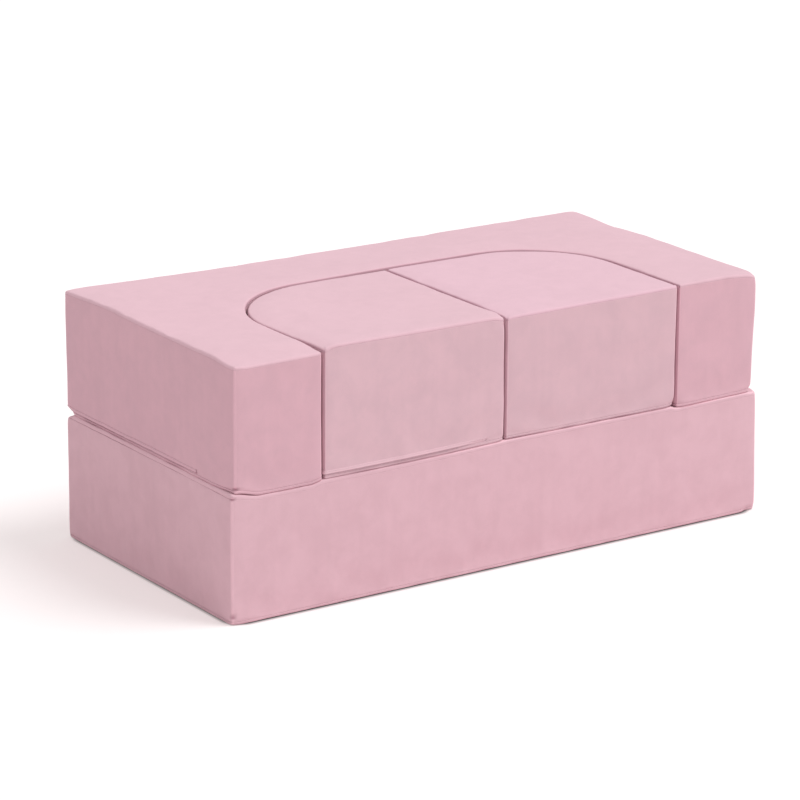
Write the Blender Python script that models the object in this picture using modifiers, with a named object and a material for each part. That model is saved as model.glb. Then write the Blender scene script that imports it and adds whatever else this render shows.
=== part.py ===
"""A nesting set of four foam play blocks that pack into one low couch or line up as a balance beam.

Metres, +Z up. The origin is the middle of the base slab's underside, +X runs along the long side
and -Y is the front. A full-size slab carries a U-shaped arch block, and two square corner blocks,
each with one large rounded corner, fill the arch's mouth. Every block is a foam core in a sewn
cover: a top panel and a bottom panel that wrap round the edges, a side band between them, and a
zip behind a flap just above the bottom seam. A block's zip is placed by two distances: inwards
from the band's outer face, and upwards from the block's underside.
"""

import math

import bmesh
import bpy
from mathutils import Matrix, Vector

COLLECTION = "nesting_play_blocks"

# Driving dimensions of the set.
LENGTH = 1.0
DEPTH = 0.5
BASE_HEIGHT = 0.2097
ARCH_HEIGHT = 0.195
LAYER_GAP = 0.0003
WALL = 0.16
BLOCK_GAP = 0.003
MOUTH_RADIUS = 0.17
EDGE_RADIUS = 0.007

# Covers and cores.
SKIN = 0.0015
CORE_INSET = 0.003
TOP_ROUND = 0.005
TOP_WRAP = 0.009
BOTTOM_ROUND = 0.003
BOTTOM_WRAP = 0.0047
CORE_ROUND = 0.003
SEAM_GAP = 0.0003
SMALLEST_RADIUS = 0.0004

# The zip: each pair is a distance inwards, or a distance up from the underside.
FLAP_IN = (0.0, 0.0012)
FLAP_UP = (0.0051, 0.012)
COIL_IN = (0.0029, 0.0043)
LOWER_COIL_UP = (0.0059, 0.0079)
UPPER_COIL_UP = (0.0091, 0.0111)
TAPE_IN = (0.0046, 0.0052)
LOWER_TAPE_UP = (0.0018, 0.0079)
UPPER_TAPE_UP = (0.0091, 0.0152)
RECESS_IN = 0.0072
RECESS_UP = 0.0156
CUT_MARGIN = 0.002

# The slider: two plates joined by a web that runs between the coils, with flanges over the coils.
SLIDER_LENGTH = 0.009
SLIDER_UP = 0.0085
SLIDER_HALF_HEIGHT = 0.0035
FRONT_PLATE_IN = (0.0016, 0.0025)
BACK_PLATE_IN = (0.0055, 0.0064)
FLANGE_IN = 0.0042
FLANGE_THICKNESS = 0.0006
WEB_HALF_THICKNESS = 0.0003
GARAGE_LENGTH = 0.022

# Where each zip runs.
ARCH_ZIP_FRONT = 0.097
ZIP_END = 0.07
BASE_ZIP_SIDE = 0.2
CORNER_ZIP_SIDE = 0.1
CORNER_ZIP_END = 0.035

TOP_ROUND_STEPS = 3
BOTTOM_ROUND_STEPS = 2
CORE_ROUND_STEPS = 2
SMALL_ARC_STEPS = 4
LARGE_ARC_STEPS = 12
LARGE_RADIUS = 0.05
SHARP_ANGLE = math.radians(40)
BEVEL_ANGLE = math.radians(60)
FLAT_ANGLE = math.radians(0.1)
MERGE = 0.00001

LAYER_HEIGHT = BASE_HEIGHT + LAYER_GAP
MOUTH_WIDTH = LENGTH - 2 * WALL
MOUTH_BACK = DEPTH / 2 - WALL
CORNER_SIDE = (MOUTH_WIDTH - 3 * BLOCK_GAP) / 2
CORNER_X = (BLOCK_GAP + CORNER_SIDE) / 2
CORNER_Y = (CORNER_SIDE - DEPTH) / 2

UP = Vector((0, 0, 1))


def material(name, colour, roughness, metallic=0.0):
    made = bpy.data.materials.new(name)
    made.use_nodes = True
    shader = made.node_tree.nodes["Principled BSDF"]
    shader.inputs["Base Color"].default_value = (*colour, 1.0)
    shader.inputs["Roughness"].default_value = roughness
    shader.inputs["Metallic"].default_value = metallic
    made.diffuse_color = (*colour, 1.0)
    return made


# Outlines. A corner is (x, y, radius), and every outline runs anticlockwise seen from above, so
# that its inner side is on the left.


def left_of(direction):
    return Vector((-direction.y, direction.x))


def corner_arc(before, corner, after, inset):
    """The points of one rounded right-angled corner of an outline moved inwards by inset."""
    x, y, radius = corner
    arriving = (Vector((x, y)) - Vector(before[:2])).normalized()
    leaving = (Vector(after[:2]) - Vector((x, y))).normalized()
    turns_left = arriving.cross(leaving) > 0
    moved = Vector((x, y)) + inset * (left_of(arriving) + left_of(leaving))
    moved_radius = max(radius - inset, SMALLEST_RADIUS) if turns_left else radius + inset
    centre = moved + moved_radius * (leaving - arriving)
    steps = LARGE_ARC_STEPS if radius > LARGE_RADIUS else SMALL_ARC_STEPS
    points = []
    for step in range(steps + 1):
        angle = math.pi / 2 * step / steps
        points.append(centre + moved_radius * (arriving * math.sin(angle) - leaving * math.cos(angle)))
    return points


def outline(corners, inset=0.0):
    points = []
    for index, corner in enumerate(corners):
        before = corners[index - 1]
        after = corners[(index + 1) % len(corners)]
        points += corner_arc(before, corner, after, inset)
    return points


def line_along(run, inset):
    """The line of a zip's run moved inwards. The run is its start, one corner and its end."""
    start, corner, end = run
    at_start = Vector(start) + inset * left_of((Vector(corner[:2]) - Vector(start)).normalized())
    at_end = Vector(end) + inset * left_of((Vector(end) - Vector(corner[:2])).normalized())
    return [at_start] + corner_arc(start, corner, end, inset) + [at_end]


def strip_outline(run, inwards):
    nearest, farthest = inwards
    return line_along(run, nearest) + line_along(run, farthest)[::-1]


def shortened(run, at_start, at_end):
    start, corner, end = run
    bend = Vector(corner[:2])
    new_start = Vector(start) + at_start * (bend - Vector(start)).normalized()
    new_end = Vector(end) + at_end * (bend - Vector(end)).normalized()
    return (new_start, corner, new_end)


# Objects.


def mesh_from_outline(name, points, bottom, top, fill="BOTH"):
    """A flat outline extruded from bottom to top, as a mesh with one face for each flat stretch."""
    curve = bpy.data.curves.new(name, "CURVE")
    curve.dimensions = "2D"
    curve.fill_mode = fill
    curve.extrude = (top - bottom) / 2
    spline = curve.splines.new("POLY")
    spline.points.add(len(points) - 1)
    for knot, point in zip(spline.points, points):
        knot.co = (point.x, point.y, 0.0, 1.0)
    spline.use_cyclic_u = True
    guide = bpy.data.objects.new(name + "_outline", curve)
    bpy.context.scene.collection.objects.link(guide)
    graph = bpy.context.evaluated_depsgraph_get()
    mesh = bpy.data.meshes.new_from_object(guide.evaluated_get(graph))
    bpy.data.objects.remove(guide)
    bpy.data.curves.remove(curve)
    work = bmesh.new()
    work.from_mesh(mesh)
    bmesh.ops.remove_doubles(work, verts=work.verts, dist=MERGE)
    bmesh.ops.dissolve_limit(work, angle_limit=FLAT_ANGLE, verts=work.verts, edges=work.edges)
    bmesh.ops.translate(work, verts=work.verts, vec=(0, 0, (bottom + top) / 2))
    work.to_mesh(mesh)
    work.free()
    mesh.name = name
    return mesh


def add(name, mesh, look, parent):
    made = bpy.data.objects.new(name, mesh)
    parts.objects.link(made)
    made.parent = parent
    mesh.materials.append(look)
    mesh.shade_smooth()
    mesh.set_sharp_from_angle(angle=SHARP_ANGLE)
    return made


def add_cutter(name, mesh, parent):
    made = bpy.data.objects.new(name, mesh)
    cutters.objects.link(made)
    made.parent = parent
    made.hide_render = True
    made.display_type = "WIRE"
    return made


def add_empty(name, place, turn=0.0, parent=None):
    made = bpy.data.objects.new(name, None)
    parts.objects.link(made)
    made.parent = parent
    made.location = place
    made.rotation_euler = (0, 0, turn)
    return made


def round_sharp_edges(made, width, segments):
    bevel = made.modifiers.new("round_edges", "BEVEL")
    bevel.width = width
    bevel.segments = segments
    bevel.limit_method = "ANGLE"
    bevel.angle_limit = BEVEL_ANGLE


def round_edges_at(made, height, width, segments):
    """Rounds the edges that lie at one height."""
    group = made.vertex_groups.new(name="rounded")
    group.add([v.index for v in made.data.vertices if abs(v.co.z - height) < MERGE], 1.0, "REPLACE")
    bevel = made.modifiers.new("round_edges", "BEVEL")
    bevel.width = width
    bevel.segments = segments
    bevel.limit_method = "VGROUP"
    bevel.vertex_group = group.name


def thicken(made):
    shell = made.modifiers.new("cloth_thickness", "SOLIDIFY")
    shell.thickness = SKIN
    shell.offset = -1
    shell.use_even_offset = True


def cut(made, cutter):
    boolean = made.modifiers.new("cut_" + cutter.name, "BOOLEAN")
    boolean.operation = "DIFFERENCE"
    boolean.solver = "EXACT"
    boolean.object = cutter


def add_panel(name, parent, corners, flat, lip, radius, steps):
    """A sheet of cover at the flat height, rounded over its edge and wrapped as far as the lip height."""
    inner_side = 1 if lip > flat else -1
    sheet = mesh_from_outline(name, outline(corners), min(flat, lip), max(flat, lip))
    made = add(name, sheet, suede, parent)
    round_edges_at(made, flat, radius, steps)
    inner_flat = flat + inner_side * SKIN
    past_lip = lip + inner_side * CUT_MARGIN
    bottom, top = min(inner_flat, past_lip), max(inner_flat, past_lip)
    hollow_mesh = mesh_from_outline(name + "_hollow", outline(corners, SKIN), bottom, top)
    hollow = add_cutter(name + "_hollow", hollow_mesh, parent)
    round_edges_at(hollow, inner_flat, radius - SKIN, steps)
    cut(made, hollow)


def add_cover(block, parent, corners, height):
    """The two panels that wrap round the edges, and the band between them."""
    top_lip = height - TOP_WRAP
    add_panel(block + "_top_panel", parent, corners, height, top_lip, TOP_ROUND, TOP_ROUND_STEPS)
    add_panel(block + "_bottom_panel", parent, corners, 0, BOTTOM_WRAP, BOTTOM_ROUND, BOTTOM_ROUND_STEPS)
    band_bottom = BOTTOM_WRAP + SEAM_GAP
    band_top = top_lip - SEAM_GAP
    band_mesh = mesh_from_outline(block + "_side_band", outline(corners), band_bottom, band_top, "NONE")
    band = add(block + "_side_band", band_mesh, suede, parent)
    thicken(band)
    return band


def add_core(block, parent, corners, height):
    mesh = mesh_from_outline(
        block + "_foam_core", outline(corners, CORE_INSET), CORE_INSET, height - CORE_INSET
    )
    core = add(block + "_foam_core", mesh, foam, parent)
    round_sharp_edges(core, CORE_ROUND, CORE_ROUND_STEPS)
    return core


def slider_mesh(name):
    """The slider's section, seen along the zip, extruded along it about its own middle."""
    half = [
        (FRONT_PLATE_IN[0], SLIDER_HALF_HEIGHT),
        (FLANGE_IN, SLIDER_HALF_HEIGHT),
        (FLANGE_IN, SLIDER_HALF_HEIGHT - FLANGE_THICKNESS),
        (FRONT_PLATE_IN[1], SLIDER_HALF_HEIGHT - FLANGE_THICKNESS),
        (FRONT_PLATE_IN[1], WEB_HALF_THICKNESS),
        (BACK_PLATE_IN[0], WEB_HALF_THICKNESS),
        (BACK_PLATE_IN[0], SLIDER_HALF_HEIGHT),
        (BACK_PLATE_IN[1], SLIDER_HALF_HEIGHT),
    ]
    lower = [Vector((inwards, -up)) for inwards, up in half]
    upper = [Vector((inwards, up)) for inwards, up in half[::-1]]
    return mesh_from_outline(name, lower + upper, -SLIDER_LENGTH / 2, SLIDER_LENGTH / 2)


def add_slider(block, parent, place, facing):
    """A slider on a straight stretch of zip. Place is on the band's outer face, which faces facing."""
    inwards = -Vector(facing)
    along = inwards.cross(UP)
    turn = Matrix((inwards, UP, along)).transposed().to_4x4()
    slider = add(block + "_zip_slider", slider_mesh(block + "_zip_slider"), slider_metal, parent)
    slider.matrix_local = Matrix.Translation((place[0], place[1], SLIDER_UP)) @ turn


def add_zip(block, parent, run, garage_at_start, core, band):
    """A zip behind its flap, with the band's lower edge and the core cut away to make room for it."""
    window_mesh = mesh_from_outline(
        block + "_zip_window",
        strip_outline(run, (-CUT_MARGIN, SKIN + CUT_MARGIN)),
        -CUT_MARGIN,
        FLAP_UP[1] + SEAM_GAP,
    )
    cut(band, add_cutter(block + "_zip_window", window_mesh, parent))
    recess_mesh = mesh_from_outline(
        block + "_zip_recess",
        strip_outline(run, (-CUT_MARGIN, RECESS_IN)),
        -CUT_MARGIN,
        RECESS_UP,
    )
    cut(core, add_cutter(block + "_zip_recess", recess_mesh, parent))
    tape_run = shortened(run, SEAM_GAP, SEAM_GAP)
    if garage_at_start:
        flap_run = shortened(run, GARAGE_LENGTH, SEAM_GAP)
    else:
        flap_run = shortened(run, SEAM_GAP, GARAGE_LENGTH)
    strips = (
        ("_zip_flap", flap_run, FLAP_IN, FLAP_UP, suede),
        ("_zip_tape_lower", tape_run, TAPE_IN, LOWER_TAPE_UP, zip_tape),
        ("_zip_tape_upper", tape_run, TAPE_IN, UPPER_TAPE_UP, zip_tape),
        ("_zip_coil_lower", tape_run, COIL_IN, LOWER_COIL_UP, zip_coil),
        ("_zip_coil_upper", tape_run, COIL_IN, UPPER_COIL_UP, zip_coil),
    )
    for ending, strip_run, inwards, upwards, look in strips:
        mesh = mesh_from_outline(block + ending, strip_outline(strip_run, inwards), *upwards)
        add(block + ending, mesh, look, parent)


def rectangle(half_x, half_y, back_left_radius=EDGE_RADIUS):
    return [
        (-half_x, -half_y, EDGE_RADIUS),
        (half_x, -half_y, EDGE_RADIUS),
        (half_x, half_y, EDGE_RADIUS),
        (-half_x, half_y, back_left_radius),
    ]


def add_base():
    block = add_empty("base_block", (0, 0, 0))
    corners = rectangle(LENGTH / 2, DEPTH / 2)
    band = add_cover("base", block, corners, BASE_HEIGHT)
    core = add_core("base", block, corners, BASE_HEIGHT)
    right, back = LENGTH / 2, DEPTH / 2
    left_end = -right + ZIP_END
    run = ((right, back - BASE_ZIP_SIDE), (right, back, EDGE_RADIUS), (left_end, back))
    add_zip("base", block, run, False, core, band)
    add_slider("base", block, (left_end + GARAGE_LENGTH / 2, back), (0, 1, 0))
    return block


def add_arch(base_block):
    block = add_empty("arch_block", (0, 0, LAYER_HEIGHT), parent=base_block)
    side, back, mouth = LENGTH / 2, DEPTH / 2, MOUTH_WIDTH / 2
    corners = [
        (-side, -back, EDGE_RADIUS),
        (-mouth, -back, EDGE_RADIUS),
        (-mouth, MOUTH_BACK, MOUTH_RADIUS),
        (mouth, MOUTH_BACK, MOUTH_RADIUS),
        (mouth, -back, EDGE_RADIUS),
        (side, -back, EDGE_RADIUS),
        (side, back, EDGE_RADIUS),
        (-side, back, EDGE_RADIUS),
    ]
    band = add_cover("arch", block, corners, ARCH_HEIGHT)
    core = add_core("arch", block, corners, ARCH_HEIGHT)
    right_end = side - ZIP_END
    run = ((right_end, back), (-side, back, EDGE_RADIUS), (-side, ARCH_ZIP_FRONT - back))
    add_zip("arch", block, run, True, core, band)
    add_slider("arch", block, (right_end - GARAGE_LENGTH / 2, back), (0, 1, 0))


def add_corner_block(name, base_block, x, turn):
    """A square block with its large rounded corner at back left before it is turned."""
    block = add_empty(name + "_block", (x, CORNER_Y, LAYER_HEIGHT), turn, base_block)
    half = CORNER_SIDE / 2
    corners = rectangle(half, half, MOUTH_RADIUS - BLOCK_GAP)
    band = add_cover(name, block, corners, ARCH_HEIGHT)
    core = add_core(name, block, corners, ARCH_HEIGHT)
    right_end = half - CORNER_ZIP_END
    run = ((-half, CORNER_ZIP_SIDE - half), (-half, -half, EDGE_RADIUS), (right_end, -half))
    add_zip(name, block, run, False, core, band)
    add_slider(name, block, (right_end - GARAGE_LENGTH / 2, -half), (0, -1, 0))


def clear_scene():
    for old in list(bpy.data.objects):
        bpy.data.objects.remove(old)


def new_collection(name):
    made = bpy.data.collections.new(name)
    bpy.context.scene.collection.children.link(made)
    return made


clear_scene()
parts = new_collection(COLLECTION)
cutters = new_collection("cutters")
cutters.hide_render = True

suede = material("pink_microsuede", (0.80, 0.56, 0.62), 0.9)
foam = material("cream_foam", (0.86, 0.80, 0.62), 0.95)
zip_tape = material("pink_zip_tape", (0.66, 0.42, 0.48), 0.8)
zip_coil = material("pink_nylon_coil", (0.62, 0.36, 0.43), 0.4)
slider_metal = material("nickel_slider", (0.72, 0.72, 0.74), 0.3, 1.0)

base = add_base()
add_arch(base)
add_corner_block("left_corner", base, -CORNER_X, 0.0)
add_corner_block("right_corner", base, CORNER_X, -math.pi / 2)
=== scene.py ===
"""The looks of a nesting set of four foam play blocks in pink microsuede covers.

Each block's cover is built as one closed sheet, swollen by a short cloth simulation that is pinned
along the seams, softened where the blocks press on each other, and then split at its seams into a
top panel, a side band and a bottom panel. The zip's flap and stitches, the zip parts that show in
its open end, the foam and the studio come after the covers.
"""

import math

import bpy
import numpy as np
from mathutils import Matrix, Vector
from mathutils.geometry import delaunay_2d_cdt


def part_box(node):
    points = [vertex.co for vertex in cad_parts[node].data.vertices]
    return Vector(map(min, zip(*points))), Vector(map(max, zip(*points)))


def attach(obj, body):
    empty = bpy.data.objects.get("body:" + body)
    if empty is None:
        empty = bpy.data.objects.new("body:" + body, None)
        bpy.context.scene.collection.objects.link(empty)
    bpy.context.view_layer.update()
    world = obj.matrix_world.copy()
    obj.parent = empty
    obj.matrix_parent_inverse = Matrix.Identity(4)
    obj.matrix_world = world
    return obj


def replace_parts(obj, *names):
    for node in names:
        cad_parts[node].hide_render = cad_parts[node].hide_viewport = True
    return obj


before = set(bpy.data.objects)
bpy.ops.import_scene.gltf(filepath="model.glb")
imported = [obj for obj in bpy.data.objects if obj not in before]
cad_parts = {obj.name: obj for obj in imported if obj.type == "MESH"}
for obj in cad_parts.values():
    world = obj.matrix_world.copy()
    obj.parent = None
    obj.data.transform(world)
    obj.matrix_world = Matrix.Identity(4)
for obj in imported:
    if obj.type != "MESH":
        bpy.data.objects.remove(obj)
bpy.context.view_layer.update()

MM = 0.001

# Sewn edges.
EDGE_RADIUS = 4.4 * MM
TOP_ROUND = 3.6 * MM
BOTTOM_ROUND = 1.9 * MM
MOUTH_RADIUS = 170 * MM
SEAM_BELOW_TOP = 5.2 * MM
BASE_SEAM_BELOW_TOP = 7.5 * MM
SEAM_ABOVE_BOTTOM = 4.6 * MM
SEAM_DEPTH = 1.0 * MM
SEAM_HALF_WIDTH = 1.0 * MM
CLOTH_THICKNESS = 1.2 * MM

# The zip, as heights above a block's underside.
WINDOW_LOW = 6.2 * MM
WINDOW_MIDDLE = 8.2 * MM
WINDOW_HIGH = 9.8 * MM
STITCH_HEIGHT = 10.8 * MM
FLAP_TOP = 12.8 * MM
FLAP_THICKNESS = 0.7 * MM
GARAGE_HALF = 11.5 * MM
STITCH_LENGTH = 3.4 * MM
STITCH_SPACING = 5.0 * MM
STITCH_RADIUS = 0.4 * MM
STITCH_PROUD = 0.3
STITCH_SIDES = 6
# A stitch's rings: (place along it, share of its radius).
STITCH_PROFILE = ((-0.5, 0.35), (-0.36, 0.85), (0.0, 1.0), (0.36, 0.85), (0.5, 0.35))

# Foam inside the covers.
FOAM_INSET = 3 * MM
REBATE_INSET = 8 * MM
REBATE_BOTTOM = 0.5 * MM
REBATE_TOP = 17 * MM
# Its surface's unevenness: (wavelength, height).
FOAM_ROUGHNESS = (23 * MM, 0.2 * MM)

# Mesh spacing.
STEP = 5 * MM
FILL_STEP = 10 * MM
FILL_CLEARANCE = 0.6
FILL_BATCH = 64
FILL_TOLERANCE = 1e-6
# Keeps only the triangles inside the outline.
FILL_MODE = 1
TINY = 1e-9
EDGE_STEPS = 6
ROUND_STEPS = 4


# Smooth noise and other fields.


RIPPLE_WAVES = 14
RIPPLE_SPREAD = (0.7, 1.5)
RIPPLE_PEAK = 1.6


def ripple(points, wavelength, seed):
    """Smooth noise of about -1 to 1 at points, as a sum of plane waves in random directions."""
    random = np.random.default_rng(seed)
    directions = random.normal(size=(RIPPLE_WAVES, points.shape[1]))
    directions /= np.linalg.norm(directions, axis=1)[:, None]
    numbers = 2 * math.pi / (wavelength * random.uniform(*RIPPLE_SPREAD, RIPPLE_WAVES))
    phases = random.uniform(0, 2 * math.pi, RIPPLE_WAVES)
    total = np.sin(points @ (directions * numbers[:, None]).T + phases).sum(axis=1)
    return total / math.sqrt(RIPPLE_WAVES / 2) / RIPPLE_PEAK


def smooth_step(value, low, high):
    share = np.clip((value - low) / (high - low), 0.0, 1.0)
    return share * share * (3 - 2 * share)


def hump(value, width):
    """1 at zero, falling smoothly to nothing a few widths away."""
    return np.exp(-(value / width) ** 2)


# Outlines, anticlockwise from above. A corner is (x, y, radius).


def sample_outline(corners):
    """(points, outward normals, bend) round a block, with the corners as arcs.

    bend is 1 in the middle of a tight corner and 0 on a straight or a wide corner.
    """
    points, normals, bend = [], [], []
    count = len(corners)
    arcs = []
    for index in range(count):
        x, y, radius = corners[index]
        before = np.array(corners[index - 1][:2])
        after = np.array(corners[(index + 1) % count][:2])
        here = np.array((x, y))
        arriving = (here - before) / np.linalg.norm(here - before)
        leaving = (after - here) / np.linalg.norm(after - here)
        turn = 1 if arriving[0] * leaving[1] - arriving[1] * leaving[0] > 0 else -1
        centre = here + radius * (leaving - arriving)
        steps = max(EDGE_STEPS, round(radius * math.pi / 2 / STEP))
        angles = np.linspace(0, math.pi / 2, steps + 1)[:, None]
        outward = arriving * np.sin(angles) - leaving * np.cos(angles)
        tight = radius < 2 * EDGE_RADIUS
        arcs.append((centre + radius * outward, outward * turn, np.sin(2 * angles[:, 0]) * tight))
    for index in range(count):
        arc_points, arc_normals, arc_bend = arcs[index]
        points += list(arc_points)
        normals += list(arc_normals)
        bend += list(arc_bend)
        start = arc_points[-1]
        end = arcs[(index + 1) % count][0][0]
        steps = max(1, round(np.linalg.norm(end - start) / STEP))
        for step in range(1, steps):
            points.append(start + (end - start) * step / steps)
            normals.append(arc_normals[-1])
            bend.append(0.0)
    return np.array(points), np.array(normals), np.array(bend)


def quarter_turn(radius, start_height, rising):
    """(inset, height, bend) rings round a quarter turn, from the flat face out to the side."""
    rings = []
    for step in range(ROUND_STEPS + 1):
        angle = math.pi / 2 * step / ROUND_STEPS
        inset = radius * (1 - math.sin(angle))
        height = radius * (1 - math.cos(angle))
        level = start_height + height if rising else start_height - height
        rings.append((inset, level, math.sin(2 * angle)))
    return rings


NEAR_SEAM = (2 * MM, 4.5 * MM, 8 * MM, 12.5 * MM, 18 * MM)
SIDE_STEP = 8 * MM
RING_OVERLAP = 0.4 * MM


def side_heights(low, high):
    """Heights between the top of the zip flap and the top seam, close together near the seam."""
    middle_high = high - NEAR_SEAM[-1]
    steps = round((middle_high - low) / SIDE_STEP)
    heights = [low + (middle_high - low) * step / steps for step in range(1, steps)]
    return heights + [high - gap for gap in NEAR_SEAM[::-1]]


def quads(rows, columns, closed):
    """The faces between rows of points, with each row closed on itself or open."""
    faces = []
    for row in range(rows - 1):
        for column in range(columns if closed else columns - 1):
            after = (column + 1) % columns
            faces.append((row * columns + column, row * columns + after,
                          (row + 1) * columns + after, (row + 1) * columns + column))
    return faces


class Cover:
    """One block's closed cover: its points, its faces, and which panel each face is on."""

    def __init__(self, corners, bottom, top, seam_below_top):
        self.bottom = bottom
        self.top = top
        self.outline, self.outward, bend = sample_outline(corners)
        self.count = len(self.outline)
        top_seam = top - seam_below_top
        bottom_seam = bottom + SEAM_ABOVE_BOTTOM
        self.seams = (bottom_seam, top_seam)
        rings = [(BOTTOM_ROUND + RING_OVERLAP, bottom, 0.0), *quarter_turn(BOTTOM_ROUND, bottom, True)]

        def add_ring(height):
            rings.append((0.0, height, 0.0))
            return len(rings) - 1

        add_ring(bottom_seam - SEAM_HALF_WIDTH)
        self.bottom_seam_ring = add_ring(bottom_seam)
        self.window_low_ring = add_ring(bottom + WINDOW_LOW)
        add_ring(bottom + WINDOW_MIDDLE)
        self.window_high_ring = add_ring(bottom + WINDOW_HIGH)
        self.stitch_ring = add_ring(bottom + STITCH_HEIGHT)
        self.flap_top_ring = add_ring(bottom + FLAP_TOP)
        for height in side_heights(bottom + FLAP_TOP, top_seam - SEAM_HALF_WIDTH):
            add_ring(height)
        add_ring(top_seam - SEAM_HALF_WIDTH)
        self.top_seam_ring = add_ring(top_seam)
        if top - TOP_ROUND - top_seam > SEAM_HALF_WIDTH:
            add_ring(top_seam + SEAM_HALF_WIDTH)
        rings += quarter_turn(TOP_ROUND, top, False)[::-1]
        rings.append((TOP_ROUND + RING_OVERLAP, top, 0.0))
        self.ring_count = len(rings)
        layers, edge = [], []
        for inset, height, ring_bend in rings:
            flat = self.outline - self.outward * inset
            layers.append(np.column_stack((flat, np.full(self.count, height))))
            edge.append(np.maximum(bend * (inset == 0), ring_bend))
        self.points = np.vstack(layers)
        self.build_faces()
        # Where the edges get wear and painted highlight: the middle of tight corners and of the roundings.
        self.edge = np.zeros(len(self.points))
        self.edge[:self.ring_count * self.count] = np.concatenate(edge)

    def build_faces(self):
        count = self.count
        faces = quads(self.ring_count, count, closed=True)
        panels = []
        for ring in range(self.ring_count - 1):
            if ring < self.bottom_seam_ring:
                panel = "bottom"
            elif ring < self.top_seam_ring:
                panel = "band"
            else:
                panel = "top"
            panels += [panel] * count
        points = list(self.points)
        for ring, height, panel in ((0, self.bottom, "bottom"), (self.ring_count - 1, self.top, "top")):
            first = ring * count
            loop = self.points[first:first + count, :2]
            inner, triangles = fill_points(loop)
            start = len(points)
            points += [np.array((x, y, height)) for x, y in inner]
            for triangle in triangles:
                indices = [first + i if i < count else start + i - count for i in triangle]
                if panel == "bottom":
                    indices = indices[::-1]
                faces.append(tuple(indices))
                panels.append(panel)
        self.points = np.array(points)
        self.swollen = self.points
        self.faces = faces
        self.panels = panels

    def per_point(self, per_column):
        """A value for each column of the side, spread to every point; the flat faces get 0."""
        spread = np.zeros(len(self.points))
        spread[:self.ring_count * self.count] = np.tile(per_column, self.ring_count)
        return spread


def fill_points(loop):
    """(inner points, triangles) that fill a closed anticlockwise loop of points."""
    low, high = loop.min(0), loop.max(0)
    grid = []
    rows = round((high[1] - low[1]) / (FILL_STEP * math.sqrt(3) / 2))
    columns = round((high[0] - low[0]) / FILL_STEP)
    for row in range(1, rows):
        y = low[1] + (high[1] - low[1]) * row / rows
        shift = 0.5 if row % 2 else 0.0
        for column in range(columns + 1):
            grid.append((low[0] + (high[0] - low[0]) * (column + shift) / columns, y))
    grid = np.array(grid)
    nearest = np.full(len(grid), np.inf)
    for start in range(0, len(loop), FILL_BATCH):
        gap = np.linalg.norm(grid[:, None] - loop[None, start:start + FILL_BATCH], axis=2)
        nearest = np.minimum(nearest, gap.min(axis=1))
    grid = grid[(nearest > FILL_STEP * FILL_CLEARANCE) & inside(grid, loop)]
    everything = [Vector(p) for p in loop] + [Vector(p) for p in grid]
    edges = [(i, (i + 1) % len(loop)) for i in range(len(loop))]
    filled = delaunay_2d_cdt(everything, edges, [list(range(len(loop)))], FILL_MODE, FILL_TOLERANCE)
    faces, original = filled[2], filled[3]
    return grid, [[original[i][0] for i in face] for face in faces]


def inside(points, loop):
    """Whether each point is inside a closed loop."""
    result = np.zeros(len(points), bool)
    ends = np.roll(loop, -1, axis=0)
    for (x1, y1), (x2, y2) in zip(loop, ends):
        if y1 != y2:
            crosses = (y1 > points[:, 1]) != (y2 > points[:, 1])
            at = x1 + (points[:, 1] - y1) * (x2 - x1) / (y2 - y1)
            result ^= crosses & (points[:, 0] < at)
    return result


# Layout, from the frame.

base_low, base_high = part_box("base_side_band")
arch_low, arch_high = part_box("arch_side_band")
left_low, left_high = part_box("left_corner_side_band")
right_low, right_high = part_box("right_corner_side_band")
BASE_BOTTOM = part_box("base_bottom_panel")[0].z
BASE_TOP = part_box("base_top_panel")[1].z
UPPER_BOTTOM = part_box("arch_bottom_panel")[0].z
UPPER_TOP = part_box("arch_top_panel")[1].z
BLOCK_GAP = right_low.x - left_high.x
MOUTH_HALF = right_high.x + BLOCK_GAP
MOUTH_BACK = base_high.y - (base_high.x - MOUTH_HALF)
CORNER_RADIUS = MOUTH_RADIUS - BLOCK_GAP
FRONT = base_low.y


def rectangle(low, high, back_left=EDGE_RADIUS, back_right=EDGE_RADIUS):
    return [
        (low.x, low.y, EDGE_RADIUS),
        (high.x, low.y, EDGE_RADIUS),
        (high.x, high.y, back_right),
        (low.x, high.y, back_left),
    ]


def arch_corners():
    return [
        (arch_low.x, arch_low.y, EDGE_RADIUS),
        (-MOUTH_HALF, arch_low.y, EDGE_RADIUS),
        (-MOUTH_HALF, MOUTH_BACK, MOUTH_RADIUS),
        (MOUTH_HALF, MOUTH_BACK, MOUTH_RADIUS),
        (MOUTH_HALF, arch_low.y, EDGE_RADIUS),
        (arch_high.x, arch_low.y, EDGE_RADIUS),
        (arch_high.x, arch_high.y, EDGE_RADIUS),
        (arch_low.x, arch_high.y, EDGE_RADIUS),
    ]


# The corner blocks' covers are pulled in a little at their sides, which keeps the gaps open.
SIDE_PULL = Vector((0.2 * MM, 0, 0))
OUTLINES = {
    "base": rectangle(base_low, base_high),
    "arch": arch_corners(),
    "left_corner": rectangle(left_low + SIDE_PULL, left_high - SIDE_PULL, back_left=CORNER_RADIUS),
    "right_corner": rectangle(right_low + SIDE_PULL, right_high - SIDE_PULL, back_right=CORNER_RADIUS),
}


# How the soft blocks have settled.


# The droop along the left leg: at its outer corner, along it, where it grows from one to the other,
# how much it loses at the inner corner, and where it loses that.
LEG_CORNER_DROOP = 1.4 * MM
LEG_DROOP = 10 * MM
LEG_GROWS = (0, 0.3)
LEG_LOSS = 0.5
LEG_LOSES = (0.86, 1.04)


def leg_droop(share):
    """Nearly flat along the left leg, with steep ends."""
    along = LEG_CORNER_DROOP + (LEG_DROOP - LEG_CORNER_DROOP) * smooth_step(share, *LEG_GROWS)
    return along * (1 - LEG_LOSS * smooth_step(share, *LEG_LOSES))


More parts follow.
